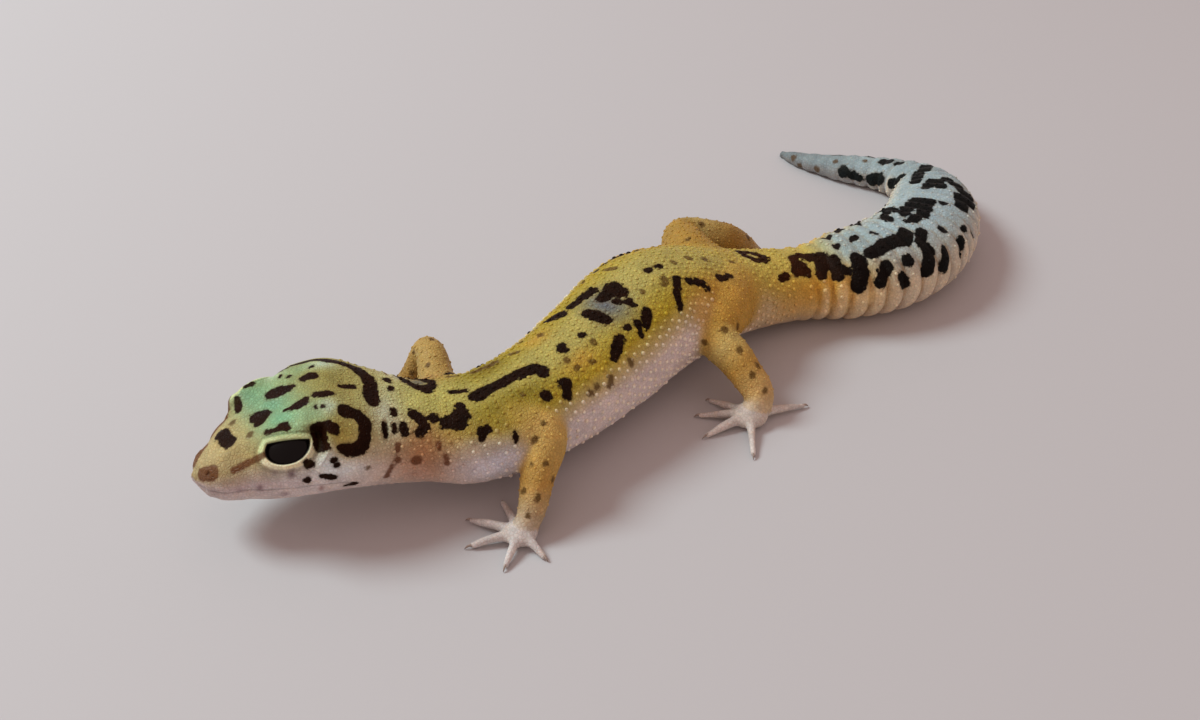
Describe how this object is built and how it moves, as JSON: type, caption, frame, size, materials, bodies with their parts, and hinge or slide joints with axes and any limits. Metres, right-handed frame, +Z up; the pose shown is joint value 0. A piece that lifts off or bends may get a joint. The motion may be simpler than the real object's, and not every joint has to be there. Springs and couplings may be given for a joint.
{
  "type": "leopard gecko model",
  "caption": "Life-size still model of a leopard gecko in a slow walking stance, with its head level, feet flat on the floor and fat ringed tail curled round to its right.",
  "frame": {"origin": "on the floor, under the middle of the model's outline", "axes": "+Z up, -Y towards the head, +X towards the animal's left; the tail's curl ends on the -X side"},
  "size_m": [0.0695, 0.1654, 0.021],
  "materials": {
    "crown_skin": "soft satin painted skin, yellow green with dark brown blotches",
    "lip_skin": "soft satin painted skin, pale pinkish white with small dark spots",
    "body_skin": "soft satin granular skin, yellow with dark brown blotches, fading to a pinkish white belly",
    "tail_skin": "soft satin ringed skin, bluish white with near-black blotches",
    "leg_skin": "soft satin granular skin, orange yellow with a few dark spots",
    "foot_skin": "soft satin skin, pale greyish pink",
    "eye": "clear wet gloss over near black"
  },
  "bodies": {
    "root": {"head": "crown_skin", "lower_jaw": "lip_skin", "neck": "body_skin", "shoulders": "body_skin", "trunk_front": "body_skin", "trunk_back": "body_skin", "pelvis": "body_skin", "tail_root": "body_skin", "tail_thick": "tail_skin", "tail_bend": "tail_skin", "tail_curl": "tail_skin", "tail_end": "tail_skin", "left_eye": "eye", "right_eye": "eye", "front_left_upper_leg": "leg_skin", "front_left_lower_leg": "leg_skin", "front_left_foot": "foot_skin", "front_right_upper_leg": "leg_skin", "front_right_lower_leg": "leg_skin", "front_right_foot": "foot_skin", "hind_left_upper_leg": "leg_skin", "hind_left_lower_leg": "leg_skin", "hind_left_foot": "foot_skin", "hind_right_upper_leg": "leg_skin", "hind_right_lower_leg": "leg_skin", "hind_right_foot": "foot_skin"}
  },
  "joints": []
}
